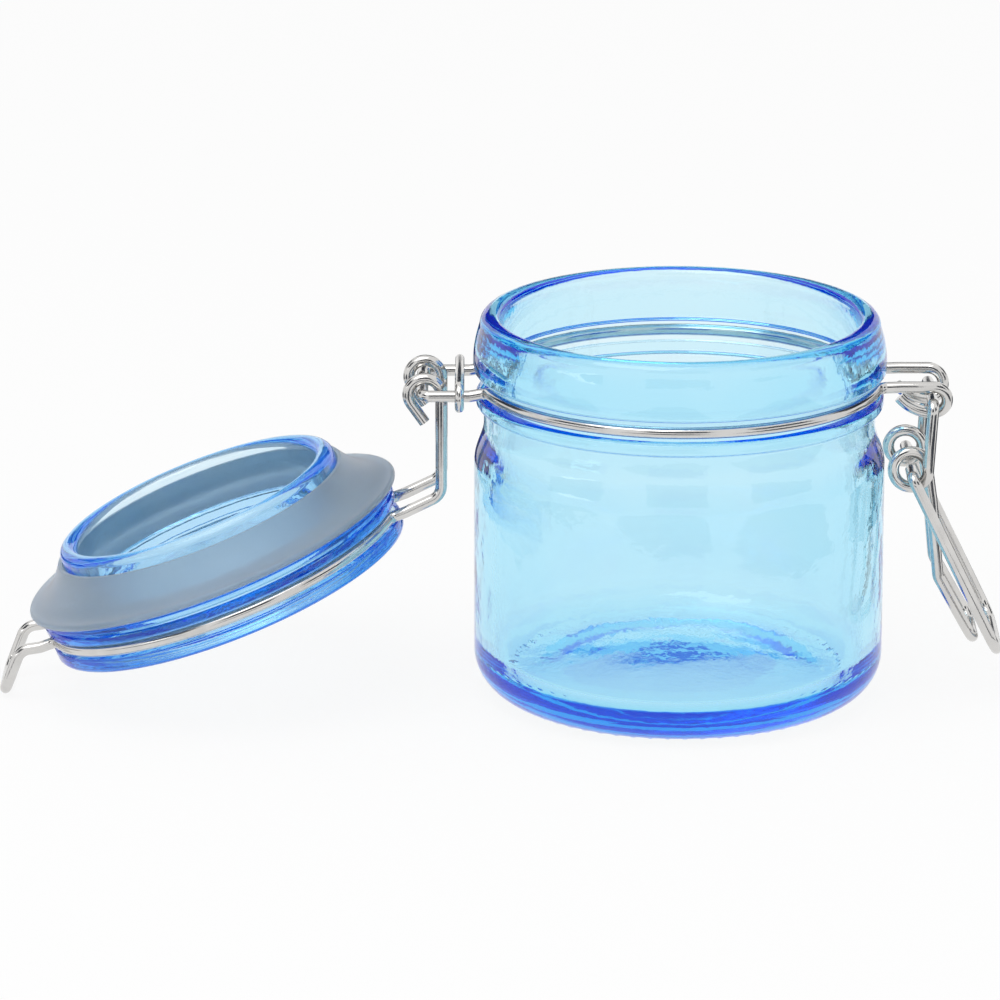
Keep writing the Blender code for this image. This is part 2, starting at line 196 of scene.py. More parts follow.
bpy.ops.object.camera_add(location=CAMERA_PLACE, rotation=(CAMERA_PITCH, 0, 0))
camera = bpy.context.object
camera.data.lens = CAMERA_LENS
camera.data.sensor_width = 36
bpy.context.scene.camera = camera
bpy.context.scene.view_settings.view_transform = "Standard"
# Light is turned back many times inside thick glass, and is lost where these are too few.
bpy.context.scene.cycles.max_bounces = GLASS_BOUNCES
bpy.context.scene.cycles.glossy_bounces = GLASS_BOUNCES
bpy.context.scene.cycles.transmission_bounces = GLASS_BOUNCES

# Jar --------------------------------------------------------------------------------------------
# The body is one piece of light blue soda-lime glass, blown in a mould: a thick round lip over a
# band, the groove that holds the collar wire, a bead, a low shoulder, and a domed foot whose
# bearing ring is stippled. The mould leaves a faint ripple in its faces.

JAR_AXIS_X = 0.0341
JAR_HEIGHT = 0.0740
BODY_R = 0.0390
BODY_WALL = 0.0036
HEEL_R = 0.0084
BEARING_WIDTH = 0.0028
PUNT_DEPTH = 0.0033
FLOOR_HEIGHT = 0.0060
FLOOR_DOME = 0.0030
INNER_HEEL_R = 0.0050
MOUTH_R = 0.0338
LIP_INNER_ROUND = 0.0015
LIP_OUTER_ROUND = 0.0020
LIP_R = 0.0379
BAND_R = 0.0391
BAND_CREST_DROP = 0.0085
GROOVE_TOP_DROP = 0.0108
GROOVE_HEIGHT = 0.0042
GROOVE_R = 0.03625
BEAD_R = 0.0386
BEAD_HEIGHT = 0.0024
EDGE_ROUND = 0.0007
NECK_R = 0.0371
NECK_HEIGHT = 0.0036
SHOULDER_HEIGHT = 0.0080
JAR_STEPS = 192                # facets round the glass
TICK_EVERY = 3                 # one stippling tick to so many facets
TICK_LOW, TICK_HIGH = 0.0001, 0.0008
TICK_INSET = 0.00030
TICK_RAISE = 0.00010
GLASS_IOR = 1.50
JAR_TINT = (0.020, 0.770, 0.980, 1)
JAR_DENSITY = 72

jar_middle = Vector((JAR_AXIS_X, 0, 0))


def arc(centre_r, centre_z, radius, start, end, steps=8):
    """Returns points round an arc in the (radius, height) plane, with its angles in degrees."""
    angles = [math.radians(start + (end - start) * i / steps) for i in range(steps + 1)]
    return [(centre_r + radius * math.cos(a), centre_z + radius * math.sin(a)) for a in angles]


def ease(start, end, steps=14):
    """Returns the points of an S-curve between two (radius, height) points, upright at both."""
    points = []
    for i in range(steps + 1):
        share = i / steps
        side = (1 - math.cos(math.pi * share)) / 2
        points.append((start[0] + (end[0] - start[0]) * side, start[1] + (end[1] - start[1]) * share))
    return points


def draw(name, points):
    """Merges a small square into one point, and extrudes it from point to point. Stays in edit mode."""
    bpy.ops.object.select_all(action="DESELECT")
    bpy.ops.mesh.primitive_plane_add(size=0.0001, location=points[0])
    made = bpy.context.object
    made.name = name
    made.data.name = name
    bpy.ops.object.mode_set(mode="EDIT")
    bpy.ops.mesh.select_all(action="SELECT")
    bpy.ops.mesh.merge(type="CENTER")
    for before, after in zip(points, points[1:]):
        bpy.ops.mesh.extrude_region_move(TRANSFORM_OT_translate={"value": after - before})
    return made


def turned(name, points, middle, axis):
    """Draws an outline, spins it about an axis, closes its seam and poles, and shades it."""
    made = draw(name, points)
    bpy.ops.mesh.select_all(action="SELECT")
    bpy.ops.mesh.remove_doubles(threshold=0.000001)
    bpy.ops.mesh.spin(steps=JAR_STEPS, angle=math.tau, center=middle, axis=axis)
    bpy.ops.mesh.select_all(action="SELECT")
    bpy.ops.mesh.remove_doubles(threshold=0.000002)
    bpy.ops.mesh.dissolve_degenerate(threshold=0.000001)
    bpy.ops.mesh.select_all(action="SELECT")
    bpy.ops.mesh.normals_make_consistent(inside=False)
    bpy.ops.object.mode_set(mode="OBJECT")
    bpy.ops.object.transform_apply(location=True, rotation=True, scale=True)
    bpy.ops.object.shade_smooth_by_angle(angle=math.radians(38))
    return made


def jar_outline():
    """Runs from the middle of the floor up the inside, over the lip, down the outside to the punt."""
    groove_top = JAR_HEIGHT - GROOVE_TOP_DROP
    groove_bottom = groove_top - GROOVE_HEIGHT
    bead_bottom = groove_bottom - BEAD_HEIGHT
    neck_bottom = bead_bottom - NECK_HEIGHT
    shoulder_bottom = neck_bottom - SHOULDER_HEIGHT
    inner_r = BODY_R - BODY_WALL
    bearing_r = BODY_R - HEEL_R
    dome_r = inner_r - INNER_HEEL_R
    lip_height = JAR_HEIGHT - LIP_OUTER_ROUND
    crest = JAR_HEIGHT - BAND_CREST_DROP
    dome = [(dome_r * i / 16, FLOOR_HEIGHT + FLOOR_DOME * math.cos(math.pi * i / 32) ** 2) for i in range(16)]
    inside = dome + arc(dome_r, FLOOR_HEIGHT + INNER_HEEL_R, INNER_HEEL_R, -90, 0, 12)
    inside += ease((inner_r, shoulder_bottom), (MOUTH_R, neck_bottom + NECK_HEIGHT))
    lip = arc(MOUTH_R + LIP_INNER_ROUND, JAR_HEIGHT - LIP_INNER_ROUND, LIP_INNER_ROUND, 180, 90)
    lip += arc(LIP_R - LIP_OUTER_ROUND, lip_height, LIP_OUTER_ROUND, 90, 0)
    swell = [(LIP_R + (BAND_R - LIP_R) * math.sin(math.pi * i / 12), lip_height + (crest - lip_height) * i / 6)
             for i in range(1, 7)]
    band = arc(BAND_R - EDGE_ROUND, groove_top + EDGE_ROUND, EDGE_ROUND, 0, -90, 4)
    groove = [(GROOVE_R, groove_top), (GROOVE_R, groove_bottom)]
    bead = arc(BEAD_R - EDGE_ROUND, groove_bottom - EDGE_ROUND, EDGE_ROUND, 90, 0, 4)
    bead += arc(BEAD_R - EDGE_ROUND, bead_bottom + EDGE_ROUND, EDGE_ROUND, 0, -90, 4)
    shoulder = arc(NECK_R + EDGE_ROUND, bead_bottom - EDGE_ROUND, EDGE_ROUND, 90, 180, 4)
    shoulder += ease((NECK_R, neck_bottom), (BODY_R, shoulder_bottom))
    heel = arc(bearing_r, HEEL_R, HEEL_R, 0, -90, 16)
    punt_r = bearing_r - BEARING_WIDTH
    punt = [(punt_r * (1 - i / 16), PUNT_DEPTH * math.sin(math.pi * i / 32)) for i in range(17)]
    return inside + lip + swell + band + groove + bead + shoulder + heel + punt


def stipple(piece):
    """Raises one short tick from every few facets of the heel, just above the bearing ring."""
    bpy.ops.object.mode_set(mode="EDIT")
    bpy.ops.mesh.select_all(action="DESELECT")
    bpy.ops.mesh.select_mode(type="FACE")
    bpy.ops.object.mode_set(mode="OBJECT")
    for face in piece.data.polygons:
        away = face.center - jar_middle
        step = int((math.atan2(away.y, away.x) / math.tau + 1) * JAR_STEPS)
        low = TICK_LOW < away.z < TICK_HIGH
        outside = face.normal.z < -0.3 and math.hypot(away.x, away.y) > BODY_R - HEEL_R
        face.select = low and outside and step % TICK_EVERY == 0
    bpy.ops.object.mode_set(mode="EDIT")
    bpy.ops.mesh.inset(thickness=TICK_INSET, depth=TICK_RAISE)
    bpy.ops.mesh.select_mode(type="VERT")
    bpy.ops.object.mode_set(mode="OBJECT")


def ripple_group():
    """Gives the slow ripple of a moulded glass face, with a finer one on it, as a height."""
    group = bpy.data.node_groups.new("mould_ripple", "ShaderNodeTree")
    group.interface.new_socket("Vector", in_out="INPUT", socket_type="NodeSocketVector")
    group.interface.new_socket("Slow", in_out="INPUT", socket_type="NodeSocketFloat")
    group.interface.new_socket("Fine", in_out="INPUT", socket_type="NodeSocketFloat")
    group.interface.new_socket("Height", in_out="OUTPUT", socket_type="NodeSocketFloat")
    given = group.nodes.new("NodeGroupInput")
    result = group.nodes.new("NodeGroupOutput")
    slow = group.nodes.new("ShaderNodeTexNoise")
    slow.inputs["Detail"].default_value = 1.0
    fine = group.nodes.new("ShaderNodeTexNoise")
    fine.inputs["Detail"].default_value = 2.0
    less = group.nodes.new("ShaderNodeMath")
    less.operation = "MULTIPLY_ADD"
    less.inputs[1].default_value = 0.22
    group.links.new(given.outputs["Vector"], slow.inputs["Vector"])
    group.links.new(given.outputs["Vector"], fine.inputs["Vector"])
    group.links.new(given.outputs["Slow"], slow.inputs["Scale"])
    group.links.new(given.outputs["Fine"], fine.inputs["Scale"])
    group.links.new(fine.outputs[0], less.inputs[0])
    group.links.new(slow.outputs[0], less.inputs[2])
    group.links.new(less.outputs[0], result.inputs["Height"])
    return group


def place_group(tree, group, **values):
    """Puts a node group in a material, on Object coordinates, with its own values."""
    node = tree.nodes.new("ShaderNodeGroup")
    node.node_tree = group
    spot = tree.nodes.new("ShaderNodeTexCoord")
    join(tree, spot.outputs["Object"], node.inputs["Vector"])
    for name, value in values.items():
        node.inputs[name].default_value = value
    return node


def blue_glass(name, group, tint, density, slow, fine, strength, pale, deep):
    """Clear tinted glass: its depth of colour follows its thickness, and its faces ripple."""
    made, tree, out = clear_material(name)
    shader = tree.nodes.new("ShaderNodeBsdfPrincipled")
    shader.inputs["Transmission Weight"].default_value = 1.0
    shader.inputs["Metallic"].default_value = 0.0
    shader.inputs["Roughness"].default_value = 0.0
    shader.inputs["IOR"].default_value = GLASS_IOR
    ripple = place_group(tree, group, Slow=slow, Fine=fine)
    stain = tree.nodes.new("ShaderNodeMix")
    stain.data_type = "RGBA"
    stain.inputs["A"].default_value = pale
    stain.inputs["B"].default_value = deep
    join(tree, ripple.outputs["Height"], stain.inputs["Factor"])
    join(tree, stain.outputs["Result"], shader.inputs["Base Color"])
    bump = tree.nodes.new("ShaderNodeBump")
    bump.inputs["Strength"].default_value = strength
    bump.inputs["Distance"].default_value = 0.0004
    join(tree, ripple.outputs["Height"], bump.inputs["Height"])
    join(tree, bump.outputs["Normal"], shader.inputs["Normal"])
    join(tree, shader.outputs[0], out.inputs["Surface"])
    depth = tree.nodes.new("ShaderNodeVolumeAbsorption")
    depth.inputs["Color"].default_value = tint
    depth.inputs["Density"].default_value = density
    join(tree, depth.outputs[0], out.inputs["Volume"])
    return made


def finish(piece, material, body, node, slot):
    """Gives a piece its material, parents it to the empty of the body that carries it, and hides the imported
    solid it stands for.
    """
    piece.data.materials.clear()
    piece.data.materials.append(material)
    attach(piece, body)
    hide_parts(node)


mould_ripple = ripple_group()
jar_glass = blue_glass(
    "jar_blue_glass", mould_ripple, JAR_TINT, JAR_DENSITY, 95, 420, 0.35,
    (0.97, 0.99, 1.0, 1), (0.90, 0.97, 1.0, 1),
)
jar_points = [jar_middle + Vector((radius, 0, height)) for radius, height in jar_outline()]
jar_body = turned("moulded_jar", jar_points, jar_middle, (0, 0, 1))
stipple(jar_body)
finish(jar_body, jar_glass, "jar", "glass_jar", "jar_glass")

# Collar wire and tie ring -----------------------------------------------------------------------
# One length of bright drawn steel wire lies in the jar's groove. Its front ends are rolled into two
# eyes for the latch, its back is bent into the hinge's bar, and a thinner oval ring ties its arms.

WIRE_R = 0.0011
TIE_WIRE_R = 0.00085
GAP = 0.0003
BEND_STEP = math.radians(6)
RING_STEPS = 144
WIRE_SIDES = 6                 # bevel resolution of a wire, for a round section
END_ROUND = 0.00028            # the cut ends of the wires are broken by this much
HINGE_ARM_Y = 0.0094
HINGE_REACH = 0.01105
HINGE_DROP = 0.0008
HINGE_DROP_END = 0.00215
LATCH_ARM_Y = 0.0070
LATCH_REACH = 0.00985
LATCH_RISE = 0.00035
EYE_R = 0.00275
EYE_SHIFT = 0.0025
EYE_TAIL_R = 0.0081
EYE_TAIL_SWEEP = math.radians(50)
LEAVE_ANGLE = math.radians(17)
RING_BEND = 0.0022
BAR_BEND = 0.0016
TIE_RING_OFFSET = 0.0070

side_step = 2 * WIRE_R + GAP
groove_mid = JAR_HEIGHT - GROOVE_TOP_DROP - GROOVE_HEIGHT / 2
neck_ring_r = GROOVE_R + GAP + WIRE_R
hinge_bar = Vector((-(neck_ring_r + HINGE_REACH), 0, groove_mid - HINGE_DROP))
arm_height = groove_mid + LATCH_RISE
eye = Vector((neck_ring_r + LATCH_REACH, 0, arm_height - EYE_R))


def polar(length, angle):
    """Returns a vector in the XZ plane, with its angle from +X towards +Z."""
    return Vector((length * math.cos(angle), 0, length * math.sin(angle)))


def bend(before, corner, after, radius):
    """Returns the points of a round bend at a corner of a wire's centreline."""
    incoming = (corner - before).normalized()
    outgoing = (after - corner).normalized()
    turn = incoming.angle(outgoing)
    reach = radius * math.tan(turn / 2)
    start = corner - incoming * reach
    inward = (outgoing - incoming * incoming.dot(outgoing)).normalized()
    middle = start + inward * radius
    steps = max(2, math.ceil(turn / BEND_STEP))
    angles = [turn * i / steps for i in range(steps + 1)]
    return [middle + (incoming * math.sin(a) - inward * math.cos(a)) * radius for a in angles]


def centreline(stops):
    """Joins (point, bend radius) stops into points. A radius of 0 leaves the point as it is."""
    points = []
    for i, (point, radius) in enumerate(stops):
        if radius:
            points += bend(stops[i - 1][0], point, stops[i + 1][0], radius)
        else:
            points.append(point)
    return points


def mirrored(half):
    return half + [Vector((p.x, -p.y, p.z)) for p in reversed(half)]


def half_ring(radius, height):
    """Returns the -Y half of a ring, from its -X arm's side round to its +X arm's side."""
    sweep = math.pi - 2 * LEAVE_ANGLE
    steps = RING_STEPS // 2
    angles = [-math.pi + LEAVE_ANGLE + sweep * i / steps for i in range(steps + 1)]
    return [Vector((radius * math.cos(a), radius * math.sin(a), height)) for a in angles]


def arm_corner_x(radius, arm_y):
    """Returns how far out the ring's tangent from its leaving point meets the line of an arm."""
    leave_x = radius * math.cos(LEAVE_ANGLE)
    leave_y = radius * math.sin(LEAVE_ANGLE)
    return leave_x + (leave_y - arm_y) * math.tan(LEAVE_ANGLE)


def bent_wire(name, points, radius, closed=False):
    """Sweeps a round wire along a drawn line, and breaks the edges of its cut ends."""
    made = draw(name, [jar_middle + point for point in points])
    if closed:
        bpy.ops.mesh.extrude_region_move(TRANSFORM_OT_translate={"value": points[0] - points[-1]})
        bpy.ops.mesh.select_all(action="SELECT")
        bpy.ops.mesh.remove_doubles(threshold=0.000001)
    bpy.ops.object.mode_set(mode="OBJECT")
    bpy.ops.object.transform_apply(location=True, rotation=True, scale=True)
    bpy.ops.object.convert(target="CURVE")
    made = bpy.context.object
    made.data.dimensions = "3D"
    made.data.bevel_depth = radius
    made.data.bevel_resolution = WIRE_SIDES
    made.data.use_fill_caps = not closed
    bpy.ops.object.convert(target="MESH")
    made = bpy.context.object
    bpy.ops.object.mode_set(mode="EDIT")
    bpy.ops.mesh.select_all(action="SELECT")
    bpy.ops.mesh.remove_doubles(threshold=0.000001)
    if not closed:
        bpy.ops.mesh.select_mode(type="FACE")
        bpy.ops.mesh.select_all(action="DESELECT")
        bpy.ops.mesh.select_face_by_sides(number=4, type="GREATER")
        bpy.ops.mesh.region_to_loop()
        bpy.ops.mesh.bevel(offset=END_ROUND, segments=3)
    bpy.ops.mesh.select_mode(type="VERT")
    bpy.ops.mesh.select_all(action="SELECT")
    bpy.ops.mesh.normals_make_consistent(inside=False)
    bpy.ops.object.mode_set(mode="OBJECT")
    bpy.ops.object.shade_smooth_by_angle(angle=math.radians(40))
    return made


def collar_wire_half():
    """Runs from the tail of the eye, round it, along the latch arm, the ring and the hinge arm."""
    tail_middle = Vector((eye.x, 0, eye.z - EYE_R + EYE_TAIL_R))
    tail = [math.radians(-90) - EYE_TAIL_SWEEP * (1 - i / 8) for i in range(8)]
    loop = [math.radians(-90 + 180 * i / 30) for i in range(31)]
    points = [tail_middle + polar(EYE_TAIL_R, a) for a in tail] + [eye + polar(EYE_R, a) for a in loop]
    last = len(points) - 1
    for i, point in enumerate(points):
        point.y = -LATCH_ARM_Y + EYE_SHIFT * (1 - i / last)
    latch_corner = arm_corner_x(neck_ring_r, LATCH_ARM_Y)
    hinge_corner = arm_corner_x(neck_ring_r, HINGE_ARM_Y)
    level_x = -(neck_ring_r + HINGE_DROP_END)
    stops = [(point, 0) for point in points]
    stops += [
        (Vector((latch_corner + 2 * RING_BEND, -LATCH_ARM_Y, arm_height)), 0),
        (Vector((latch_corner, -LATCH_ARM_Y, (arm_height + groove_mid) / 2)), RING_BEND),
    ]
    stops += [(point, 0) for point in reversed(half_ring(neck_ring_r, groove_mid))]
    stops += [
        (Vector((-hinge_corner, -HINGE_ARM_Y, groove_mid - HINGE_DROP / 4)), BAR_BEND),
        (Vector((level_x, -HINGE_ARM_Y, hinge_bar.z)), BAR_BEND),
        (Vector((hinge_bar.x, -HINGE_ARM_Y, hinge_bar.z)), BAR_BEND),
        (hinge_bar, 0),
    ]
    return centreline(stops)[:-1]


def tie_ring_path():
    """An oval round both hinge arms, upright across them."""
    radius = WIRE_R + GAP + TIE_WIRE_R
    middle = hinge_bar + Vector((TIE_RING_OFFSET, 0, 0))
    path = []
    for side in (1, -1):
        for i in range(25):
            angle = math.radians(-90 + 180 * i / 24)
            reach = HINGE_ARM_Y + radius * math.cos(angle)
            path.append(middle + Vector((0, side * reach, side * radius * math.sin(angle))))
    return path


def drawn_steel():
    """Bright steel wire, with the faint long scratches of the drawing die and small dull spots."""
    made, tree, out = clear_material("bright_steel_wire")
    shader = tree.nodes.new("ShaderNodeBsdfPrincipled")
    shader.inputs["Metallic"].default_value = 1.0
    spot = tree.nodes.new("ShaderNodeTexCoord")
    dull = tree.nodes.new("ShaderNodeTexNoise")
    dull.inputs["Scale"].default_value = 260
    dull.inputs["Detail"].default_value = 4
    scratch = tree.nodes.new("ShaderNodeTexNoise")
    scratch.inputs["Scale"].default_value = 2600
    scratch.inputs["Detail"].default_value = 2
    join(tree, spot.outputs["Object"], dull.inputs["Vector"])
    join(tree, spot.outputs["Object"], scratch.inputs["Vector"])
    shine = tree.nodes.new("ShaderNodeMapRange")
    shine.inputs["From Min"].default_value = 0.35
    shine.inputs["From Max"].default_value = 0.70
    shine.inputs["To Min"].default_value = 0.09
    shine.inputs["To Max"].default_value = 0.20
    join(tree, dull.outputs[0], shine.inputs["Value"])
    join(tree, shine.outputs[0], shader.inputs["Roughness"])
    tone = tree.nodes.new("ShaderNodeMix")
    tone.data_type = "RGBA"
    tone.inputs["A"].default_value = (0.72, 0.71, 0.69, 1)
    tone.inputs["B"].default_value = (0.55, 0.54, 0.53, 1)
    join(tree, dull.outputs[0], tone.inputs["Factor"])
    join(tree, tone.outputs["Result"], shader.inputs["Base Color"])
    bump = tree.nodes.new("ShaderNodeBump")
    bump.inputs["Strength"].default_value = 0.12
    bump.inputs["Distance"].default_value = 0.00005
    join(tree, scratch.outputs[0], bump.inputs["Height"])
    join(tree, bump.outputs["Normal"], shader.inputs["Normal"])
    join(tree, shader.outputs[0], out.inputs["Surface"])
    return made


steel = drawn_steel()
collar = bent_wire("bent_collar", mirrored(collar_wire_half()), WIRE_R)
finish(collar, steel, "jar", "collar_wire", "steel_wire")
tie = bent_wire("oval_tie_ring", tie_ring_path(), TIE_WIRE_R, closed=True)
finish(tie, steel, "jar", "tie_ring", "steel_wire")

# Glass lid --------------------------------------------------------------------------------------
# A pressed disc of the same glass, with a wire groove round its edge, a bead and a flange under the
# groove, and a round hollow plug that goes into the jar's mouth. It hangs open, top side down.

LID_SEAT = 0.0071
LID_DISC_R = 0.0355
LID_TOP = 0.0044
LID_RECESS_R = 0.0260
LID_RECESS = 0.0004
LID_EDGE_ROUND = 0.0012
LID_GROOVE_R = 0.0330
LID_GROOVE_HALF = 0.00145
FLANGE_BEAD_R = 0.0357
FLANGE_BEAD_HEIGHT = 0.0015
FLANGE_NOTCH = 0.0004
FLANGE_R = 0.0360
FLANGE_BOTTOM = -0.0050
PLUG_R = 0.0279
PLUG_INNER_R = 0.0244
PLUG_BOTTOM = -0.0156
LID_FLOOR = -0.0015
NOSE_TIP_X = 0.0469
NOSE_TIP_RISE = 0.0058
LID_TINT = (0.010, 0.640, 0.980, 1)
LID_DENSITY = 50

lid_plane = JAR_HEIGHT + LID_SEAT
nose_tip = Vector((NOSE_TIP_X, 0, lid_plane + NOSE_TIP_RISE)) - hinge_bar
# The lid turns until the tip of its wire nose lies on the table.
tip_drop = hinge_bar.z - WIRE_R - GAP
lid_opening = math.pi + math.asin(tip_drop / nose_tip.length) - math.atan2(nose_tip.z, nose_tip.x)
swing = Matrix.Rotation(-lid_opening, 3, "Y")
lid_middle = hinge_bar + swing @ Vector((-hinge_bar.x, 0, lid_plane - hinge_bar.z))
lid_axis = swing @ Vector((0, 0, 1))


def lid_outline():
    """Runs from the middle of the top, down the edge and the plug's outside, to the hollow's floor."""
    rim = (PLUG_R - PLUG_INNER_R) / 2
    edge = EDGE_ROUND / 2
    notch = -LID_GROOVE_HALF - FLANGE_BEAD_HEIGHT - edge
    outline = [(LID_RECESS_R * i / 6, LID_TOP - LID_RECESS) for i in range(7)]
    recess_foot = (LID_RECESS_R + EDGE_ROUND / 3, LID_TOP - LID_RECESS)
    outline += ease(recess_foot, (LID_RECESS_R + EDGE_ROUND, LID_TOP), 4)
    outline += arc(LID_DISC_R - LID_EDGE_ROUND, LID_TOP - LID_EDGE_ROUND, LID_EDGE_ROUND, 90, 0)
    outline += arc(LID_DISC_R - edge, LID_GROOVE_HALF + edge, edge, 0, -90, 4)
    outline += [(LID_GROOVE_R, LID_GROOVE_HALF), (LID_GROOVE_R, -LID_GROOVE_HALF)]
    outline += arc(FLANGE_BEAD_R - edge, -LID_GROOVE_HALF - edge, edge, 90, 0, 4)
    outline += [(FLANGE_BEAD_R, notch + edge), (FLANGE_BEAD_R - FLANGE_NOTCH, notch), (FLANGE_R, notch - 2 * edge)]
    outline += arc(FLANGE_R - edge, FLANGE_BOTTOM + edge, edge, 0, -90, 4)
    outline += [(PLUG_R, FLANGE_BOTTOM)]
    outline += arc(PLUG_INNER_R + rim, PLUG_BOTTOM + rim, rim, 0, -180, 18)
    outline += arc(PLUG_INNER_R - LID_EDGE_ROUND, LID_FLOOR - LID_EDGE_ROUND, LID_EDGE_ROUND, 0, 90)
    return outline + [(PLUG_INNER_R * (6 - i) / 7, LID_FLOOR) for i in range(6)] + [(0, LID_FLOOR)]


def on_lid(outline):
    """Places (radius, height) points of the lid, measured from the middle of its groove."""
    return [jar_middle + lid_middle + swing @ Vector((radius, 0, height)) for radius, height in outline]


lid_glass = blue_glass(
    "lid_blue_glass", mould_ripple, LID_TINT, LID_DENSITY, 120, 500, 0.30,
    (0.96, 0.99, 1.0, 1), (0.84, 0.95, 1.0, 1),
)
lid_disc = turned("moulded_lid", on_lid(lid_outline()), jar_middle + lid_middle, lid_axis)
finish(lid_disc, lid_glass, "lid", "glass_lid", "lid_glass")

# Gasket -----------------------------------------------------------------------------------------
# A ring of frosted, translucent silicone, stretched over the plug and lying under the flange. Its
# underside sweeps down in a hollow curve from the sealing edge to a thin skirt round the plug.

GASKET_FIT = 0.00035
GASKET_R = 0.0373
GASKET_EDGE = 0.0013
GASKET_HOLLOW = 2.0
GASKET_SKIRT_WIDTH = 0.0007
GASKET_SKIRT_BOTTOM = -0.0126


def gasket_outline():
    bore = PLUG_R + GASKET_FIT
    top = FLANGE_BOTTOM - GAP
    seal_r = GASKET_R - GASKET_EDGE / 2
    width = seal_r - bore - GASKET_SKIRT_WIDTH
    depth = top - GASKET_EDGE - GASKET_SKIRT_BOTTOM
    outline = [(bore, top)] + arc(seal_r, top - GASKET_EDGE / 2, GASKET_EDGE / 2, 90, -90, 10)
    shares = [i / 20 for i in range(1, 21)]
    outline += [(seal_r - width * share, top - GASKET_EDGE - depth * share**GASKET_HOLLOW) for share in shares]
    return outline + [(bore, GASKET_SKIRT_BOTTOM), (bore, top)]


def frosted_silicone():
    """Milky silicone with a fine matt skin, a little cloudier in places."""
    made, tree, out = clear_material("frosted_silicone")
    shader = tree.nodes.new("ShaderNodeBsdfPrincipled")
    shader.inputs["Transmission Weight"].default_value = 0.78
    shader.inputs["IOR"].default_value = 1.41
    shader.inputs["Sheen Weight"].default_value = 0.55
    shader.inputs["Sheen Tint"].default_value = (1.0, 0.96, 0.97, 1)
    shader.inputs["Sheen Roughness"].default_value = 0.4
    spot = tree.nodes.new("ShaderNodeTexCoord")
    cloud = tree.nodes.new("ShaderNodeTexNoise")
    cloud.inputs["Scale"].default_value = 70
    cloud.inputs["Detail"].default_value = 3
    skin = tree.nodes.new("ShaderNodeTexNoise")
    skin.inputs["Scale"].default_value = 1800
    skin.inputs["Detail"].default_value = 3
    join(tree, spot.outputs["Object"], cloud.inputs["Vector"])
    join(tree, spot.outputs["Object"], skin.inputs["Vector"])
    tone = tree.nodes.new("ShaderNodeMix")
    tone.data_type = "RGBA"
    tone.inputs["A"].default_value = (0.44, 0.57, 0.68, 1)
    tone.inputs["B"].default_value = (0.62, 0.72, 0.80, 1)
    join(tree, cloud.outputs[0], tone.inputs["Factor"])
    join(tree, tone.outputs["Result"], shader.inputs["Base Color"])
    matt = tree.nodes.new("ShaderNodeMapRange")
    matt.inputs["To Min"].default_value = 0.34
    matt.inputs["To Max"].default_value = 0.52
    join(tree, cloud.outputs[0], matt.inputs["Value"])
    join(tree, matt.outputs[0], shader.inputs["Roughness"])
    bump = tree.nodes.new("ShaderNodeBump")
    bump.inputs["Strength"].default_value = 0.2
    bump.inputs["Distance"].default_value = 0.0001
    join(tree, skin.outputs[0], bump.inputs["Height"])
    join(tree, bump.outputs["Normal"], shader.inputs["Normal"])
    join(tree, shader.outputs[0], out.inputs["Surface"])
    return made


silicone = frosted_silicone()
seal = turned("silicone_gasket", on_lid(gasket_outline()), jar_middle + lid_middle, lid_axis)
finish(seal, silicone, "lid", "gasket", "silicone")

# Lid wire ---------------------------------------------------------------------------------------
# One bent wire lies in the lid's groove. Two hooks at its back go round the hinge bar, and a squared
# nose at its front, turned up at the tip, is what the latch's bail catches.

LID_ARM_Y = 0.0066
NOSE_Y = 0.0076
ARM_LEVEL_R = 0.0372
ARM_DROP = 0.0007
NOSE_CROOK_X = 0.0410
NOSE_CROOK_DROP = 0.0008
NOSE_BEND = 0.0030
HOOK_R = 0.0031
HOOK_TURN = math.radians(215)
HOOK_TAIL = 0.0044
HOOK_SEAT = math.radians(138.4)
KNEE_BEND = 0.0030

lid_ring_r = LID_GROOVE_R + GAP + WIRE_R


def to_closed(point):
    """Turns a point near the hinge bar from the open lid's position to the closed lid's."""
    return polar(point.length, math.atan2(point.z, point.x) - lid_opening)


def lid_wire_half():
    """From the hinge bar: hook, leg, arm, ring, and the nose's leg to its turned-up tip, lid closed."""
    hook = -polar(HOOK_R - side_step, HOOK_SEAT)
    leg_x = hook.x + HOOK_R
    rise = lid_plane - hinge_bar.z
    leg_z = (rise - ARM_DROP + leg_x * math.sin(lid_opening)) / math.cos(lid_opening)
    turns = 40
    loop = [hook + polar(HOOK_R, HOOK_TURN * (1 - i / turns)) for i in range(turns + 1)]
    tail = loop[0] + polar(HOOK_TAIL, HOOK_TURN + math.radians(90))
    knee = to_closed(Vector((leg_x, 0, leg_z)))
    stops = [(to_closed(point), 0) for point in [tail] + loop]
    stops.append((knee, KNEE_BEND))
    for point, _ in stops:
        point.y = -LID_ARM_Y
    ring_middle = Vector((-hinge_bar.x, 0, rise))
    arm_corner = ring_middle.x - arm_corner_x(lid_ring_r, LID_ARM_Y)
    nose_corner = ring_middle.x + arm_corner_x(lid_ring_r, NOSE_Y)
    stops += [
        (Vector((ring_middle.x - ARM_LEVEL_R, -LID_ARM_Y, rise)), 0),
        (Vector((arm_corner, -LID_ARM_Y, rise)), RING_BEND),
    ]
    stops += [(point + ring_middle, 0) for point in half_ring(lid_ring_r, 0)]
    stops += [
        (Vector((nose_corner, -NOSE_Y, rise)), RING_BEND),
        (Vector((ring_middle.x + ARM_LEVEL_R, -NOSE_Y, rise)), 0),
        (Vector((ring_middle.x + NOSE_CROOK_X, -NOSE_Y, rise - NOSE_CROOK_DROP)), NOSE_BEND),
        (Vector((nose_tip.x, -NOSE_Y, nose_tip.z)), NOSE_BEND),
        (nose_tip, 0),
    ]
    return centreline(stops)[:-1]


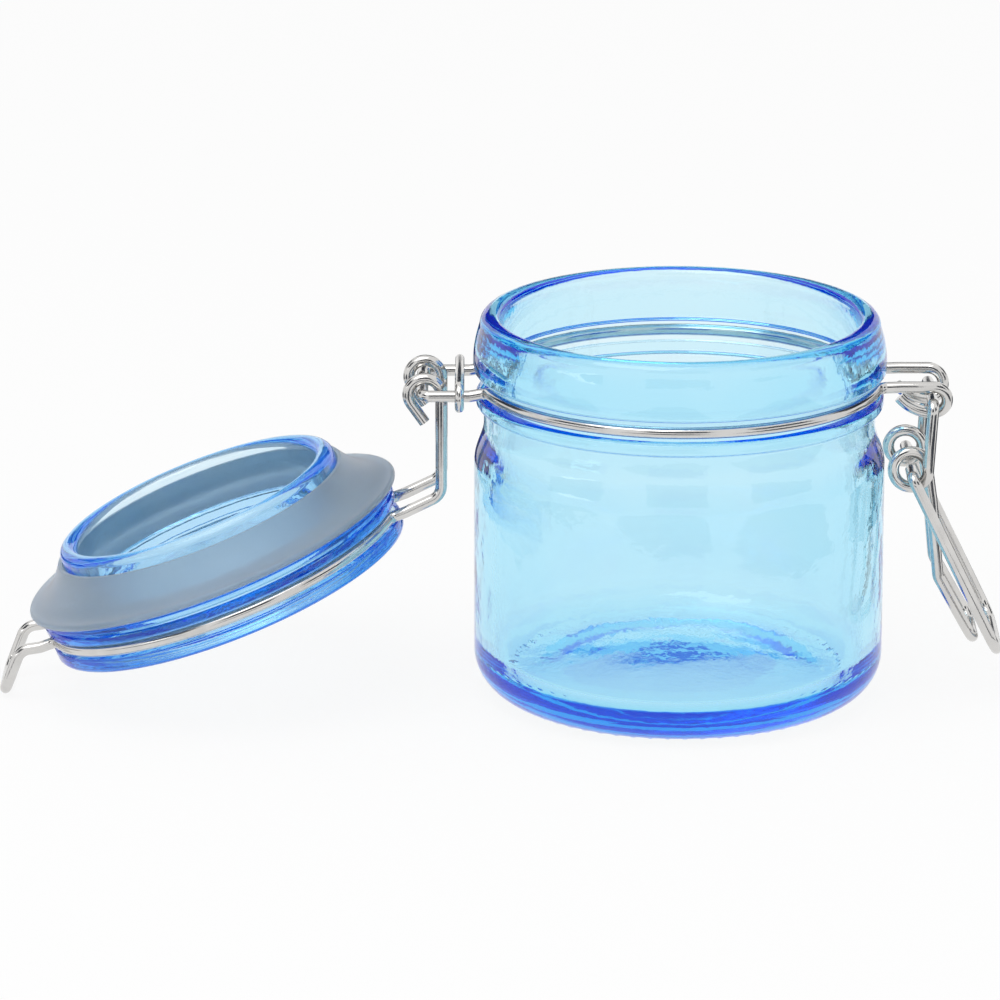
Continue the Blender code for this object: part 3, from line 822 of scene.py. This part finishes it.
lid_line = [hinge_bar + swing @ point for point in mirrored(lid_wire_half())]
lid_loop = bent_wire("bent_lid_wire", lid_line, WIRE_R)
finish(lid_loop, steel, "lid", "lid_wire", "steel_wire")

# Latch lever ------------------------------------------------------------------------------------
# One bent wire whose two pins turn in the collar wire's eyes. Each leg is wound once into a coil,
# which is where the bail turns, and runs on into a long kinked handle.

COIL_R = 0.00325
COIL_DROP = 0.01275
COIL_OUT = -0.00405
KNEE_OUT, KNEE_DROP = 0.0001, 0.01905
KINK_OUT, KINK_DROP = 0.0016, 0.03425
TIP_OUT, TIP_DROP = 0.0086, 0.04690
LEVER_PIN_END = 0.0042
LEVER_BEND = 0.0030
PIN_BEND = 0.0016

lever_pin = eye - Vector((0, 0, EYE_R - side_step))
lever_y = LATCH_ARM_Y + side_step
handle_y = lever_y - side_step


def lever_half():
    """From the lever's pin: pin, leg, one full coil that steps inward, and the kinked handle."""
    middle = Vector((COIL_OUT, 0, -COIL_DROP))
    turns = 60
    winding = []
    for i in range(turns + 1):
        point = middle + polar(COIL_R, -math.tau * i / turns)
        point.y = -lever_y + side_step * i / turns
        winding.append((point, 0))
    stops = [(Vector((0, -LEVER_PIN_END, 0)), 0), (Vector((0, -lever_y, 0)), PIN_BEND)]
    stops += winding
    stops += [
        (Vector((KNEE_OUT, -handle_y, -KNEE_DROP)), LEVER_BEND),
        (Vector((KINK_OUT, -handle_y, -KINK_DROP)), LEVER_BEND),
        (Vector((TIP_OUT, -handle_y, -TIP_DROP)), LEVER_BEND),
        (Vector((TIP_OUT, 0, -TIP_DROP)), 0),
    ]
    return centreline(stops)[:-1]


lever_line = [lever_pin + point for point in mirrored(lever_half())]
lever = bent_wire("bent_lever", lever_line, WIRE_R)
finish(lever, steel, "lever", "latch_lever", "steel_wire")

# Latch bail -------------------------------------------------------------------------------------
# A plain squared loop of the same wire, whose two pins turn in the lever's coils. It hangs beside
# the handle here, and goes over the lid's nose when the jar is shut.

BAIL_PIN_END = 0.0060
BAIL_BEND = 0.0040
BAIL_SEAT = math.radians(-74.5)
BAIL_REST = math.radians(-64.1)
BAIL_CATCH = 0.0013

coil = lever_pin + Vector((COIL_OUT, 0, -COIL_DROP))
bail_y = lever_y + side_step
bail_pin = coil + polar(COIL_R - side_step, BAIL_SEAT)
latched_bar = Vector((NOSE_CROOK_X - BAIL_CATCH, 0, lid_plane - NOSE_CROOK_DROP / 2 + side_step))
bail_length = (latched_bar - bail_pin).length


def bail_half():
    """From the bail's pin: pin, leg and bar."""
    end = polar(bail_length, BAIL_REST)
    stops = [
        (Vector((0, -BAIL_PIN_END, 0)), 0),
        (Vector((0, -bail_y, 0)), PIN_BEND),
        (Vector((end.x, -bail_y, end.z)), BAIL_BEND),
        (end, 0),
    ]
    return centreline(stops)[:-1]


bail_line = [bail_pin + point for point in mirrored(bail_half())]
bail = bent_wire("bent_bail", bail_line, WIRE_R)
finish(bail, steel, "bail", "latch_bail", "steel_wire")
